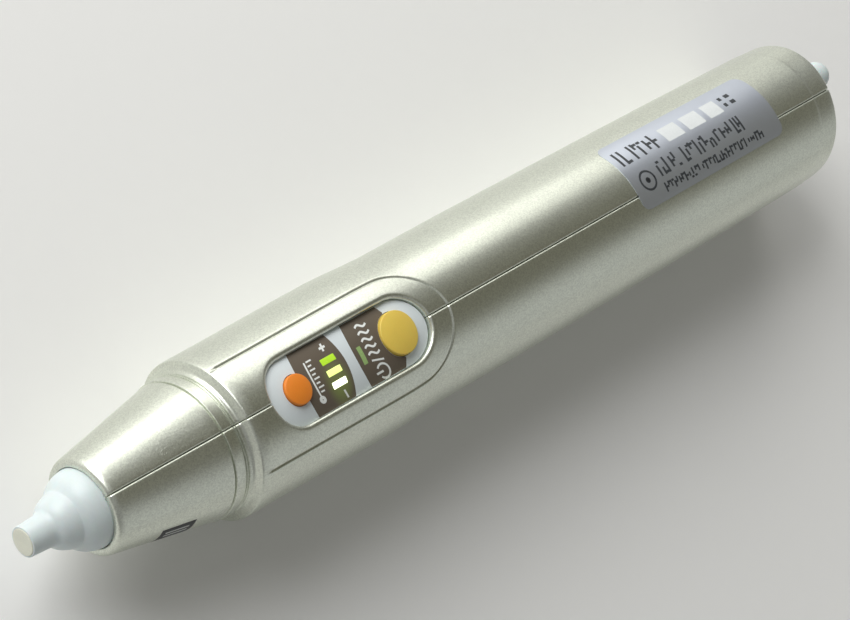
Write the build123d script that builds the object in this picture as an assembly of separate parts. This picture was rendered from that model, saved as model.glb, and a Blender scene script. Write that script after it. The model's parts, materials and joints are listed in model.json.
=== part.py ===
from build123d import *
from math import cos, degrees, radians, sin, sqrt
import os

# Pen-type electric heat-therapy wand, in millimetres.
# X runs along the pen from the heated tip to the tail, Z points up out of the control panel,
# and the two body shells meet on the plane Y = 0. The origin is the middle of the tip's flat face.

# ---- overall body ----------------------------------------------------------------------------
nose_front_x = 12.8        # front rim of the nose
nose_front_r = 8.6
nose_round = 0.8           # rounding of that rim
nose_length = 22.1         # rim to the cap groove
nose_end_r = 12.78
land_length = 2.15         # cylinder that a slip-on cap seats on
land_r = 12.95
groove_width = 0.3
groove_depth = 0.3
shoulder_run = 1.45        # axial length of the concave flare behind the grooves
flare_lip = 0.15           # step at the front of that flare
shoulder_round = 1.0
grip_length = 72.0         # swelling front part of the barrel, measured from the shoulder
barrel_r = 15.05
shoulder_r = barrel_r - 0.73
grip_front_r = barrel_r - 0.20
grip_swell_r = barrel_r + 0.29
grip_waist_r = barrel_r - 0.17
straight_length = 30.0     # true cylinder behind the grip, where a clip holds the pen
tail_r = barrel_r - 0.42
tail_slant = 6.3           # degrees by which the tail's cut leans, longer on +Y
wall_barrel = 1.75
wall_nose = 1.3
lip_length = 1.8           # front lip of the nose that the white cone passes through
parting_width = 0.30       # groove along the joint of the shells
parting_depth = 0.20

# ---- tip -------------------------------------------------------------------------------------
tip_face_r = 2.40
tip_lip_x = 0.12           # white rim round the face stands this far back
tip_rim_r = 2.70
tip_plate_t = 1.0
tip_spigot_r = 1.9
tip_spigot_length = 1.4
neck_r = 3.05
neck_end_x = 4.9
flare_x = 7.3
flare_r = 4.65
tip_base_r = 7.1
tip_gap = 0.2              # between the white cone and the nose rim
heater_r = 1.8
heater_length = 9.5
sensor_r = 0.5
sensor_length = 1.4
lead_y = 1.2               # heater leads, each side of the axis
insulator_r = 5.4
flange_r = 7.9
flange_t = 1.4

# ---- control panel ---------------------------------------------------------------------------
well_front = 5.75          # well's front end, from the shoulder
well_length = 38.4
well_half_width = 6.25
pad_half_width = 9.7
pad_rear = 49.3            # pad's rear end, from the shoulder
pad_raise = 0.35
panel_drop = 1.05          # panel bed's surface under the barrel's radius
bed_t = 1.8
bed_lip = 1.3              # bed's flange beyond the well, inside the shells
bulkhead_gap = 1.3         # bed's flange to the bulkhead in front of the cells
label_t = 0.15
label_margin = 0.25
temp_button_at = 12.2      # from the shoulder
temp_button_r = 2.75
heat_button_at = 37.25
heat_button_r = 4.05
button_crown = 0.55
button_proud = 0.85        # crown above the label
button_travel = 0.6
button_skirt = 1.85        # dome's edge to the flange
button_clear = 0.12
button_flange = 0.7
button_flange_t = 0.6
bar_at = 19.3              # front end of the level bars, from the shoulder
bar_length = 3.3
bar_width = 1.15
bar_places = (-2.5, -0.3, 1.9)
lamp_at = 27.4
lamp_length = 0.95
lamp_width = 3.3
lamp_place = -0.35

# ---- electronics -----------------------------------------------------------------------------
board_drop = 3.6           # board's top under the bed's inner face
board_t = 1.2
board_length = 36.8
board_edge = 0.63          # board's edge to the bore
switch_size = 6.0
switch_h = 2.5
plunger_r = 1.7
plunger_in = 0.9           # how deep the plunger sits in its switch
post_r = 1.5
post_y = 4.9
post_sink = 3.0            # post's length, into the bed
board_screw_r = 0.65
led_h = 0.7
coil_r = 3.1
wire_r = 0.45

# ---- batteries and tail ----------------------------------------------------------------------
cell_r = 7.15
cell_length = 50.5
nub_r = 2.75
nub_h = 1.2
cell_clear = 0.25
rib_t = 1.3
rib_shares = (0.09, 0.29, 0.47, 0.63, 0.81, 0.97)   # of the two cells' length
strip_width = 4.0
strip_t = 0.3
strip_gap = 0.6            # strip's underside over the board's top
strip_clear = 0.3
contact_t = 0.4
spring_gap = 4.6           # room that the pressed spring takes
spring_wire_r = 0.35
spring_turns = 3.0
cap_clear = 0.08
cap_flange_t = 5.6
ledge_t = 1.6
ledge_in = 1.3             # how far the bayonet ledge stands in from the bore
ear_t = 1.6
ear_width = 36.0           # degrees
cap_turn = 45.0            # degrees from locked to free
cap_inset = 2.45           # cap's face inside the middle of the tail's cut
oring_r = 0.5
stud_r = 2.9
stud_edge = 0.28           # stud to the bore
stud_turn = 20.2           # degrees from +Z towards +Y
stud_out = 9.0             # stud's crown beyond the cap's face

# ---- fasteners and sticker -------------------------------------------------------------------
screw_r = 1.0
screw_head_r = 1.75
screw_head_t = 1.3
screw_head_at = 5.2        # under-head face, from the parting plane
screw_length = 9.6
boss_r = screw_head_r + 0.65
boss_in = 4.45             # boss axis, in from the barrel's radius
screw_places = (12.4, 56.4)          # front and middle screw, from the shoulder
rear_screw_share = 0.78861           # rear screw, in shares of the two cells' length like the ribs
sticker_t = 0.08
sticker_at = 104.1         # from the shoulder
sticker_length = 45.4
sticker_half = 8.0
sticker_turn = 18.0        # degrees towards +Y
sticker_corner = 2.0

fit = 0.05                 # small assembly clearance
guide_fit = 0.03           # round each light guide
far = 400.0                # longer than the pen
from_base = (Align.CENTER, Align.CENTER, Align.MIN)

# ---- places worked out from the sizes --------------------------------------------------------
cap_groove_x = nose_front_x + nose_length
land_x = cap_groove_x + groove_width
bead_x = land_x + land_length
flare_start_x = bead_x + 2.5 * groove_width
shoulder_x = flare_start_x + shoulder_run
straight_x = shoulder_x + 1.0 + grip_length
taper_x = straight_x + straight_length
bore_r = barrel_r - wall_barrel
bed_r = barrel_r - panel_drop
label_r = bed_r + label_t
bed_in_r = bed_r - bed_t
board_top = bed_in_r - board_drop
board_bottom = board_top - board_t
board_half = sqrt((bore_r - board_edge) ** 2 - board_top ** 2)
well_x0 = shoulder_x + well_front
well_x1 = well_x0 + well_length
bulkhead_x = well_x1 + bed_lip + bulkhead_gap
front_contact_x = bulkhead_x + rib_t + 0.2
cells_x0 = front_contact_x + contact_t + 0.1
cells_x1 = cells_x0 + 2 * cell_length
cap_contact_x = cells_x1 + spring_gap
plug_x = cap_contact_x + contact_t
ear_x = plug_x + 1.4
ledge_x = ear_x + ear_t + 0.4
cap_flange_x = ledge_x + ledge_t + 0.4
cap_face_x = cap_flange_x + cap_flange_t
tail_x = cap_face_x + cap_inset
ledge_r = bore_r - ledge_in
temp_x = shoulder_x + temp_button_at
heat_x = shoulder_x + heat_button_at
bar_x0 = shoulder_x + bar_at
lamp_x0 = shoulder_x + lamp_at
board_x0 = well_x0 + 0.6
posts_x = (bar_x0 - 1.9, heat_x - heat_button_r - 1.55)
flange_top = label_r + button_proud - button_crown - button_skirt
stop_x = nose_front_x + 3.8    # the two ribs that hold the cone's flange
stop_t = 1.4
flange_x = stop_x + stop_t + 0.1
cone_end_x = flange_x + flange_t
spigot_end_x = tip_plate_t + tip_spigot_length
heater_x1 = spigot_end_x + fit + heater_length
screws_x = [shoulder_x + place for place in screw_places]
screws_x.append(cells_x0 + rear_screw_share * 2 * cell_length)
screw_z = boss_in - barrel_r
strip_z = board_top + strip_gap
stud_reach = bore_r - stud_edge - stud_r
stud_y = stud_reach * sin(radians(stud_turn))
stud_z = stud_reach * cos(radians(stud_turn))
oring_seat_r = bore_r - 2 * oring_r - 0.05
tab_y = -3.75              # front contact's tab, beside the cells' axis
tab_z = 3.1
tab_x = bulkhead_x - 1.6


def rod(x0, x1, r, y=0.0, z=0.0):
    """Cylinder along X."""
    return Pos(x0, y, z) * Rot(0, 90, 0) * Cylinder(r, x1 - x0, align=from_base)


def post(x, y, z0, z1, r):
    """Cylinder along Z."""
    return Pos(x, y, z0) * Cylinder(r, z1 - z0, align=from_base)


def cross_rod(y0, y1, r, x, z):
    """Cylinder along Y."""
    return Pos(x, y0, z) * Rot(-90, 0, 0) * Cylinder(r, y1 - y0, align=from_base)


def block(x0, x1, y0, y1, z0, z1):
    return Pos((x0 + x1) / 2, (y0 + y1) / 2, (z0 + z1) / 2) * Box(x1 - x0, y1 - y0, z1 - z0)


def stadium(x0, x1, half_width, z0, z1):
    """Prism along Z with a round-ended outline."""
    return Pos((x0 + x1) / 2, 0, z0) * extrude(SlotOverall(x1 - x0, 2 * half_width), z1 - z0)


def turned(edges):
    """Solid of revolution about X from the edges of an outline with Y as its radius."""
    return revolve(make_face(Wire(edges)), Axis.X, 360)


def polyline(points):
    return [Line(a, b) for a, b in zip(points, points[1:])]


def barrel_outline(grow):
    """Barrel's outer line from the shoulder's edge to past the tail, grown by that much."""
    edge = (shoulder_x, shoulder_r + grow)
    start = (shoulder_x + shoulder_round, grip_front_r + grow)
    swell_x = shoulder_x + 0.45 * grip_length
    grip = [start, (shoulder_x + 0.22 * grip_length, barrel_r + grow), (swell_x, grip_swell_r - 0.04 + grow),
            (shoulder_x + 0.51 * grip_length, grip_swell_r - 0.03 + grow),
            (shoulder_x + 0.65 * grip_length, grip_waist_r + grow),
            (shoulder_x + 0.80 * grip_length, barrel_r - 0.12 + grow), (straight_x, barrel_r + grow)]
    taper_end = (tail_x + 5, tail_r + grow)
    taper_mid = ((taper_x + tail_x + 5) / 2, barrel_r - (barrel_r - tail_r) / 4 + grow)
    return [Line(edge, (shoulder_x + 0.2, shoulder_r + 0.3 + grow)),
            Line((shoulder_x + 0.2, shoulder_r + 0.3 + grow), start),
            Spline(*grip, tangents=[(1, 0.03), (1, 0)]),
            Line((straight_x, barrel_r + grow), (taper_x, barrel_r + grow)),
            ThreePointArc((taper_x, barrel_r + grow), taper_mid, taper_end)]


def nose_outline(grow):
    """Nose's outer line from its front rim to the shoulder's edge."""
    slope = (nose_end_r - nose_front_r) / nose_length
    rim = (nose_front_x, nose_front_r - nose_round + grow)
    cone = (nose_front_x + nose_round, nose_front_r + slope * nose_round + grow)
    low = land_r - groove_depth + grow
    high = land_r + grow
    mid_x = bead_x + groove_width
    mid_x1 = bead_x + 1.5 * groove_width
    steps = [cone, (cap_groove_x, nose_end_r + grow), (cap_groove_x, low), (land_x, low), (land_x, high),
             (bead_x, high), (bead_x, low), (mid_x, low), (mid_x, high), (mid_x1, high), (mid_x1, low),
             (flare_start_x, low), (flare_start_x, high + flare_lip)]
    flare_rise = shoulder_r - land_r
    flare_mid = (flare_start_x + 0.68 * shoulder_run, high + flare_lip + 0.33 * flare_rise)
    rim_mid = (nose_front_x + 0.25 * nose_round, nose_front_r - 0.2 * nose_round + grow)
    flare = ThreePointArc(steps[-1], flare_mid, (shoulder_x, shoulder_r + grow))
    return [ThreePointArc(rim, rim_mid, cone), *polyline(steps), flare]


def outer_solid(grow=0.0):
    """Everything inside the shells' outer surface."""
    rim = (nose_front_x, nose_front_r - nose_round + grow)
    end = (tail_x + 5, tail_r + grow)
    closing = polyline([end, (end[0], 0), (nose_front_x, 0), rim])
    return turned(nose_outline(grow) + barrel_outline(grow) + closing)


def pad_solid():
    """Raised pad around the panel, as a grown slice of the barrel."""
    end = (tail_x + 5, tail_r + pad_raise)
    closing = polyline([end, (end[0], 0), (shoulder_x, 0), (shoulder_x, shoulder_r + pad_raise)])
    grown = turned(barrel_outline(pad_raise) + closing)
    return grown & stadium(shoulder_x - 2 * pad_half_width, shoulder_x + pad_rear, pad_half_width, 2, far)


def inner_solid():
    """Hollow of the two shells, open at both ends."""
    lip_r = tip_base_r + tip_gap
    slope = (nose_end_r - nose_front_r) / nose_length
    lip_end = nose_front_x + lip_length
    cone_r = nose_front_r + slope * lip_length - wall_nose
    back_r = nose_end_r - wall_nose
    points = [(nose_front_x - 1, 0), (nose_front_x - 1, lip_r), (lip_end, lip_r), (lip_end, cone_r),
              (cap_groove_x, back_r), (bead_x + 1.6, back_r), (shoulder_x + 1.6, bore_r),
              (tail_x + 6, bore_r), (tail_x + 6, 0), (nose_front_x - 1, 0)]
    return turned(polyline(points))


def ring(x, thickness, hole_r, outer):
    """Rib across the hollow with a round hole, kept inside the outer surface."""
    return (rod(x, x + thickness, barrel_r + 1) - rod(x - 1, x + thickness + 1, hole_r)) & outer


def bayonet_ledge(outer):
    """Ledge that the cap's ears lock behind, with two notches to let them through."""
    ledge = ring(ledge_x, ledge_t, ledge_r, outer)
    half = 0.5 * (ear_width + 6)
    reach = (bore_r + 0.3) * cos(radians(half))
    wedge = Polyline((0, 0), (reach * 0.999, reach * sin(radians(half)) / cos(radians(half))),
                     (reach * 0.999, -reach * sin(radians(half)) / cos(radians(half))), close=True)
    notch = extrude(Plane.YZ.offset(ledge_x - 1) * make_face(wedge), ledge_t + 2)
    for turn in (90 + cap_turn, 270 + cap_turn):
        ledge -= Rot(turn, 0, 0) * notch
    return ledge


def shells():
    """The left (+Y) and right (-Y) body shells."""
    outer = outer_solid()
    core = outer_solid(-parting_depth)
    inner = inner_solid()
    body = (outer + pad_solid()) - inner
    body -= stadium(well_x0, well_x1, well_half_width, 2, far)
    ribs = [ring(stop_x, stop_t, tip_base_r + 0.15, outer),
            ring(cone_end_x + 0.2, stop_t, insulator_r - 1, outer)]
    tab_slot = block(bulkhead_x - 1, bulkhead_x + rib_t + 1, tab_y - 2.2, tab_y + 1.2,
                     tab_z - 1.1, tab_z + 1.4)
    bulkhead = ring(bulkhead_x, rib_t, nub_r + 0.45, outer) - tab_slot
    ribs.append(bulkhead - post(bulkhead_x, 0, bed_in_r - 0.6, far, 6))
    tunnel_r = cell_r + cell_clear
    for share in rib_shares:
        ribs.append(ring(cells_x0 + share * 2 * cell_length, rib_t, tunnel_r, outer))
    for x in screws_x:
        ribs.append(cross_rod(-barrel_r, barrel_r, boss_r, x, screw_z) & outer)
    ribs.append(bayonet_ledge(outer))
    for rib in ribs:
        body += rib
    body -= rod(cells_x0 - 0.1, cells_x1, tunnel_r)
    half = strip_width / 2 + strip_clear
    strip_top = strip_z + strip_t
    body -= block(bulkhead_x - 1, cap_contact_x, -half, half, strip_z - strip_clear, strip_top + strip_clear)
    for x in screws_x:
        body -= cross_rod(-screw_head_at - 0.01, 0.01, screw_r + 0.15, x, screw_z)
        body -= cross_rod(-barrel_r, -screw_head_at, screw_head_r + 0.2, x, screw_z)
        body -= cross_rod(0, screw_length - screw_head_at + 0.6, screw_r + 0.02, x, screw_z)
    slab = block(0, tail_x + 20, -parting_width / 2, parting_width / 2, -far, far)
    body -= slab - core
    body -= Pos(tail_x, 0, 0) * Rot(0, 0, -tail_slant) * block(0, 40, -far, far, -far, far)
    left = body & block(0, far, 0, far, -far, far)
    right = body & block(0, far, -far, 0, -far, far)
    return left, right


def tip_plate():
    """Ceramic face that touches the skin, with its spigot."""
    return rod(0, tip_plate_t, tip_face_r) + rod(tip_plate_t, spigot_end_x, tip_spigot_r)


def tip_cone():
    """White heat-resistant cone that carries the tip plate."""
    start = (tip_lip_x, tip_rim_r)
    seat_r = tip_face_r + fit
    neck = (neck_end_x, neck_r)
    flare = (flare_x, flare_r)
    ledge = (flare_x + 1.4, flare_r + 0.78)
    base = (nose_front_x - 0.2, tip_base_r)
    bore = tip_spigot_r + fit
    outline = [Line(start, neck), ThreePointArc(neck, (flare_x - 1.2, flare_r - 0.98), flare),
               Line(flare, ledge), ThreePointArc(ledge, (flare_x + 3.4, flare_r + 1.72), base)]
    pocket_x = nose_front_x + 1.3
    closing = polyline([base, (flange_x, tip_base_r), (flange_x, flange_r), (cone_end_x, flange_r),
                        (cone_end_x, insulator_r + fit), (pocket_x, insulator_r + fit), (pocket_x, neck_r),
                        (neck_end_x + 4.6, bore), (tip_plate_t, bore), (tip_plate_t, seat_r),
                        (tip_lip_x, seat_r), start])
    return turned(outline + closing)


def heater():
    """Ceramic heater rod behind the tip plate."""
    return rod(spigot_end_x + fit, heater_x1, heater_r)


def heat_sensor():
    """Thermistor bead between the heater's leads."""
    x = heater_x1 + fit
    return rod(x, x + sensor_length, sensor_r) + Pos(x + sensor_length, 0, 0) * Sphere(sensor_r)


def insulator():
    """Heat-insulating plug in the back of the cone."""
    x0 = nose_front_x + 1.4
    plug = rod(x0, cone_end_x, insulator_r)
    for y in (-lead_y, lead_y):
        plug -= rod(x0 - 1, cone_end_x + 1, wire_r + 0.1, y)
    return plug - rod(x0 - 1, heater_x1 + sensor_length + sensor_r + 0.1, sensor_r + 0.1)


def wire(points, bend_r):
    """Insulated wire along straight runs joined by arcs."""
    path = FilletPolyline(*points, radius=bend_r)
    return sweep(Plane(origin=path @ 0, z_dir=path % 0) * Circle(wire_r), path=path)


def heater_lead(y):
    """Lead from the heater to the underside of the board."""
    z = board_bottom - wire_r - 0.03
    route = [(heater_x1 + fit, 0), (flange_x + 10, 0), (shoulder_x - 0.5, z - 2.5), (board_x0 + 4, z)]
    return wire([(x, y, height) for x, height in route], 8.0)


def panel_bed():
    """White carrier that fills the well and holds the label, buttons, light guides and board."""
    x0 = well_x0 + button_clear
    x1 = well_x1 - button_clear
    low = bed_in_r * cos(radians(40)) - 1
    bed = rod(x0 - 3, x1 + 3, bed_r) & stadium(x0, x1, well_half_width - button_clear, low, far)
    lip_outline = stadium(x0 - bed_lip, x1 + bed_lip, well_half_width + bed_lip, low, far)
    lip = rod(x0 - 3, x1 + 3, bore_r - fit) & lip_outline
    bed = (bed + lip) - rod(x0 - 9, x1 + 9, bed_in_r)
    for x in posts_x:
        for y in (-post_y, post_y):
            bed += post(x, y, board_top + 0.02, board_top + post_sink, post_r)
            bed -= post(x, y, board_top - 1, board_top + post_sink - 0.4, board_screw_r + 0.02)
    for x, r in ((temp_x, temp_button_r), (heat_x, heat_button_r)):
        bed -= post(x, 0, 0, far, r + button_clear)
        bed -= post(x, 0, 0, flange_top + fit, r + button_flange + 0.15)
    for slot in guide_slots():
        bed -= slot
    return bed


def guide_places():
    """Plan of each light guide: the three level bars, then the heat lamp."""
    half = bar_width / 2
    places = [(bar_x0, bar_x0 + bar_length, y - half, y + half) for y in bar_places]
    places.append((lamp_x0, lamp_x0 + lamp_length, lamp_place - lamp_width / 2, lamp_place + lamp_width / 2))
    return places


def guide_slots():
    """Openings for the light guides, with room round each."""
    room = guide_fit
    return [block(x0 - room, x1 + room, y0 - room, y1 + room, 0, far) for x0, x1, y0, y1 in guide_places()]


def panel_label():
    """Thin printed sheet on the bed, with holes for buttons and light guides."""
    sheet = rod(well_x0, well_x1, label_r) - rod(well_x0 - 1, well_x1 + 1, bed_r)
    outline = stadium(well_x0 + label_margin, well_x1 - label_margin, well_half_width - label_margin, 2, far)
    sheet &= outline
    for x, r in ((temp_x, temp_button_r), (heat_x, heat_button_r)):
        sheet -= post(x, 0, 0, far, r + button_clear)
    for slot in guide_slots():
        sheet -= slot
    return sheet


def light_guide(place):
    """Clear bar from just over its LED to flush with the label."""
    x0, x1, y0, y1 = place
    return block(x0, x1, y0, y1, board_top + led_h + 0.1, far) & rod(x0 - 1, x1 + 1, label_r - 0.02)


def button(x, r):
    """Domed push button with its retaining flange; it slides in the bed along Z."""
    crown = label_r + button_proud
    edge = crown - button_crown
    bottom = flange_top - button_flange_t
    dome_r = (r * r + button_crown ** 2) / (2 * button_crown)
    outline = [Line((0, bottom), (r + button_flange, bottom)),
               Line((r + button_flange, bottom), (r + button_flange, flange_top)),
               Line((r + button_flange, flange_top), (r, flange_top)), Line((r, flange_top), (r, edge)),
               RadiusArc((r, edge), (0, crown), -dome_r), Line((0, crown), (0, bottom))]
    face = Plane.XZ * make_face(Wire(outline))
    return Pos(x, 0, 0) * revolve(face, Axis.Z, 360)


def plunger(x):
    """Moving stem of a push switch, under its button."""
    return post(x, 0, board_top + switch_h - plunger_in, flange_top - button_flange_t - 0.02, plunger_r)


def push_switch(x):
    """Fixed body of a push switch, soldered to the board."""
    half = switch_size / 2
    body = block(x - half, x + half, -half, half, board_top, board_top + switch_h)
    floor = board_top + switch_h - plunger_in - button_travel - 0.1
    return body - post(x, 0, floor, far, plunger_r + fit)


def circuit_board():
    board = block(board_x0, board_x0 + board_length, -board_half, board_half, board_bottom, board_top)
    for x in posts_x:
        for y in (-post_y, post_y):
            board -= post(x, y, 0, far, board_screw_r + 0.15)
    return board


def board_screws():
    """Four small screws up through the board into the bed's posts."""
    screws = []
    for x in posts_x:
        for y in (-post_y, post_y):
            head = post(x, y, board_bottom - 0.9, board_bottom - 0.01, 1.3)
            screws.append(head + post(x, y, board_bottom - 0.5, board_top + post_sink - 0.6, board_screw_r))
    return Compound(children=screws)


def leds():
    """Surface-mount lamps: the three level lamps as one group, and the heat lamp."""
    chips = []
    for x0, x1, y0, y1 in guide_places():
        x, y = (x0 + x1) / 2, (y0 + y1) / 2
        chips.append(block(x - 0.4, x + 0.4, y - 0.5, y + 0.5, board_top, board_top + led_h))
    return Compound(children=chips[:3]), chips[3]


def controller():
    x = bar_x0 + 5
    return block(x - 3, x + 3, -2.5, 2.5, board_bottom - 1.3, board_bottom)


def boost_coil():
    """Drum inductor of the supply that feeds the heater."""
    x = heat_x - 0.6
    drum = post(x, 0, board_bottom - 3.4, board_bottom, coil_r)
    waist = post(x, 0, board_bottom - 2.7, board_bottom - 0.7, coil_r + 1) - post(x, 0, 0, far, coil_r - 1.1)
    return drum - waist


def capacitor():
    can = post(temp_x + 3.4, 0, board_bottom - 5.8, board_bottom, 2.6)
    return can - (post(temp_x + 3.4, 0, board_bottom - 1.5, board_bottom - 1.1, 3)
                  - post(temp_x + 3.4, 0, board_bottom - 2, board_bottom, 2.4))


def cell(index):
    """AA cell with its positive nub towards the tip."""
    x0 = cells_x0 + index * cell_length
    can = rod(x0 + nub_h, x0 + cell_length, cell_r)
    can = fillet(can.edges().filter_by(GeomType.CIRCLE), 0.4)
    return can + rod(x0, x0 + nub_h + 0.2, nub_r)


def front_contact():
    """Positive contact plate, with a solder tab through the bulkhead."""
    plate = block(front_contact_x, front_contact_x + contact_t, -4.5, 4.5, -4.5, 4.5)
    return plate + block(tab_x, front_contact_x + 0.1, tab_y - 0.55, tab_y + 0.55, tab_z - 0.2, tab_z + 0.2)


def return_strip():
    """Flat strip that brings the tail contact back to the board, over the cells."""
    x0 = board_x0 + board_length - 2.5
    x1 = cap_contact_x - fit
    half = strip_width / 2
    strip = block(x0, x1, -half, half, strip_z, strip_z + strip_t)
    foot = block(x0, x0 + strip_t, -half, half, board_top, strip_z + 0.1)
    return strip + foot + block(x1 - strip_t, x1, -half, half, strip_z - 1.2, strip_z + 0.1)


def battery_lead():
    """Lead from the front contact's tab to the underside of the board."""
    z = board_bottom - wire_r - 0.03
    route = [(tab_x - fit, tab_z), (tab_x - 3.2, tab_z), (tab_x - 6.6, z), (tab_x - 9.4, z)]
    return wire([(x, tab_y, height) for x, height in route], 2.0)


def cap_spring():
    """Conical contact spring, at its pressed length."""
    rise = spring_gap - 2 * spring_wire_r - 0.3
    cone = degrees(0.35)
    path = Helix(rise / spring_turns, rise, 5.2, cone_angle=-cone * 0.9)
    coil = sweep(Plane(origin=path @ 0, z_dir=path % 0) * Circle(spring_wire_r), path=path, is_frenet=True)
    return Pos(cap_contact_x - spring_wire_r - 0.1, 0, 0) * Rot(0, -90, 0) * coil


def cap_contact():
    """Sprung contact plate on the front of the cap's plug."""
    return rod(cap_contact_x, plug_x, bore_r - 2.6)


def battery_cap():
    """Tail cap: flange, plug, two bayonet ears and the round thumb stud."""
    flange_out = bore_r - cap_clear
    plug_r = ledge_r - 0.4
    cap = rod(cap_flange_x, cap_face_x, flange_out) + rod(plug_x, cap_flange_x + 0.1, plug_r)
    ears = rod(ear_x, ear_x + ear_t, bore_r - 0.35) - rod(ear_x - 1, ear_x + ear_t + 1, plug_r - 0.2)
    slope = sin(radians(ear_width / 2)) / cos(radians(ear_width / 2))
    wedge = Polyline((0, 0), (barrel_r, barrel_r * slope), (barrel_r, -barrel_r * slope), close=True)
    sector = extrude(Plane.YZ.offset(ear_x - 1) * make_face(wedge), ear_t + 2)
    cap += ears & (Rot(90, 0, 0) * sector)
    cap += ears & (Rot(270, 0, 0) * sector)
    cap -= rod(plug_x - 1, cap_face_x - 2.2, plug_r - 1.8)
    groove_x = cap_flange_x + cap_flange_t / 2
    cap -= rod(groove_x - 0.55, groove_x + 0.55, barrel_r) - rod(groove_x - 1, groove_x + 1, oring_seat_r)
    cap += rod(cap_face_x - 1, cap_face_x + stud_out - stud_r, stud_r, stud_y, stud_z)
    return cap + Pos(cap_face_x + stud_out - stud_r, stud_y, stud_z) * Sphere(stud_r)


def cap_seal():
    """O-ring on the cap's flange."""
    x = cap_flange_x + cap_flange_t / 2
    return Pos(x, 0, 0) * Rot(0, 90, 0) * Torus(oring_seat_r + oring_r + 0.02, oring_r)


def shell_screws():
    """Screws that clamp the two shells, driven from the -Y side, as one group."""
    screws = []
    top = -screw_head_at - screw_head_t
    arm = 0.7 * screw_head_r
    slot = 0.2
    for x in screws_x:
        head = cross_rod(top, -screw_head_at - 0.01, screw_head_r, x, screw_z)
        head -= block(x - arm, x + arm, top - 1, top + 0.6, screw_z - slot, screw_z + slot)
        head -= block(x - slot, x + slot, top - 1, top + 0.6, screw_z - arm, screw_z + arm)
        shank = cross_rod(-screw_head_at - 0.5, screw_length - screw_head_at, screw_r, x, screw_z)
        screws.append(head + shank)
    return Compound(children=screws)


def rating_sticker():
    """Thin sticker that follows the barrel across the parting line."""
    layer = outer_solid(sticker_t) - outer_solid()
    sheet = Pos(shoulder_x + sticker_at + sticker_length / 2, 0, 1) * extrude(
        RectangleRounded(sticker_length, 2 * sticker_half, sticker_corner), 2 * barrel_r)
    return layer & (Rot(-sticker_turn, 0, 0) * sheet)


def main():
    left, right = shells()
    level_leds, heat_led = leds()
    guides = [light_guide(place) for place in guide_places()]
    pieces = {
        "left_shell": left, "right_shell": right, "shell_screws": shell_screws(),
        "tip_plate": tip_plate(), "tip_cone": tip_cone(), "heater_rod": heater(),
        "heat_sensor": heat_sensor(), "tip_insulator": insulator(),
        "heater_lead_left": heater_lead(lead_y), "heater_lead_right": heater_lead(-lead_y),
        "panel_bed": panel_bed(), "panel_label": panel_label(),
        "temp_button": button(temp_x, temp_button_r), "heat_button": button(heat_x, heat_button_r),
        "temp_switch_plunger": plunger(temp_x), "heat_switch_plunger": plunger(heat_x),
        "temp_switch": push_switch(temp_x), "heat_switch": push_switch(heat_x),
        "level_bar_low": guides[0], "level_bar_middle": guides[1], "level_bar_high": guides[2],
        "heat_lamp_guide": guides[3], "level_leds": level_leds, "heat_led": heat_led,
        "circuit_board": circuit_board(), "board_screws": board_screws(), "controller_chip": controller(),
        "boost_coil": boost_coil(), "supply_capacitor": capacitor(),
        "front_contact": front_contact(), "battery_lead": battery_lead(), "return_strip": return_strip(),
        "front_cell": cell(0), "rear_cell": cell(1),
        "battery_cap": battery_cap(), "cap_contact": cap_contact(), "cap_spring": cap_spring(),
        "cap_seal": cap_seal(), "rating_sticker": rating_sticker(),
    }
    os.makedirs("parts", exist_ok=True)
    for name, piece in pieces.items():
        export_step(piece, f"parts/{name}.step")
        print(f"{name}: {len(piece.solids())} solid, {piece.volume:.1f} mm3")


main()
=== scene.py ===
"""Looks for a pen-type heat-therapy wand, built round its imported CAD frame.

Every new piece is a surface worked out with numpy in millimetres and stored in metres, in the frame's own
axes: X from the tip to the tail, Z out of the panel, and the two shells meet on Y = 0.
"""

import json

import bmesh
import bpy
import numpy as np
from mathutils import Matrix, Vector


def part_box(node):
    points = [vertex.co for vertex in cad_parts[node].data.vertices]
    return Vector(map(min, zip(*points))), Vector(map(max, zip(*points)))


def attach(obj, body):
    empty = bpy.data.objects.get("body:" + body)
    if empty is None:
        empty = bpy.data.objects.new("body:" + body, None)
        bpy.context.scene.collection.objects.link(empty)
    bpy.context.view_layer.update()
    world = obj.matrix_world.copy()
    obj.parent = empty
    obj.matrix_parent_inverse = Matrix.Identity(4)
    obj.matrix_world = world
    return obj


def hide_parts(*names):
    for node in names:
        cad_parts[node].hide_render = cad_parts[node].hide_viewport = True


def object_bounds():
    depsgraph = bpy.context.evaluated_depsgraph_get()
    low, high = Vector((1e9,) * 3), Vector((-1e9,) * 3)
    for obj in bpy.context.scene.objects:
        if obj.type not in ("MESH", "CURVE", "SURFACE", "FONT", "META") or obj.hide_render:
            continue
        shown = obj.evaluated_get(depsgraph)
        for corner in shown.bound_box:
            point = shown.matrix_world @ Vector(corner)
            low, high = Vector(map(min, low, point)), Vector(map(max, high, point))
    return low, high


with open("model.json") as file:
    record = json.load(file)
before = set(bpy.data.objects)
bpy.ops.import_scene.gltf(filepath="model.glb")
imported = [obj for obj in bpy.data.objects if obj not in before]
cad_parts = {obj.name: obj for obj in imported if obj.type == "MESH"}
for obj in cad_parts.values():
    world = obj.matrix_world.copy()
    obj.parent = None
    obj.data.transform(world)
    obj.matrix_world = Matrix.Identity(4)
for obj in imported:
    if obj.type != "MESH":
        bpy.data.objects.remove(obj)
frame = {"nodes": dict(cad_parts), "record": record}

bl_info = {
    "name": "Heat wand looks",
    "version": (1, 0, 0),
    "blender": (4, 5, 0),
    "location": "View3D > Sidebar > Heat wand",
    "description": "Builds the finished surfaces of a pen-type heat wand round its frame",
    "category": "Object",
}

MM = 0.001
CAD_BOX = [list(corner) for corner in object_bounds()]


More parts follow.
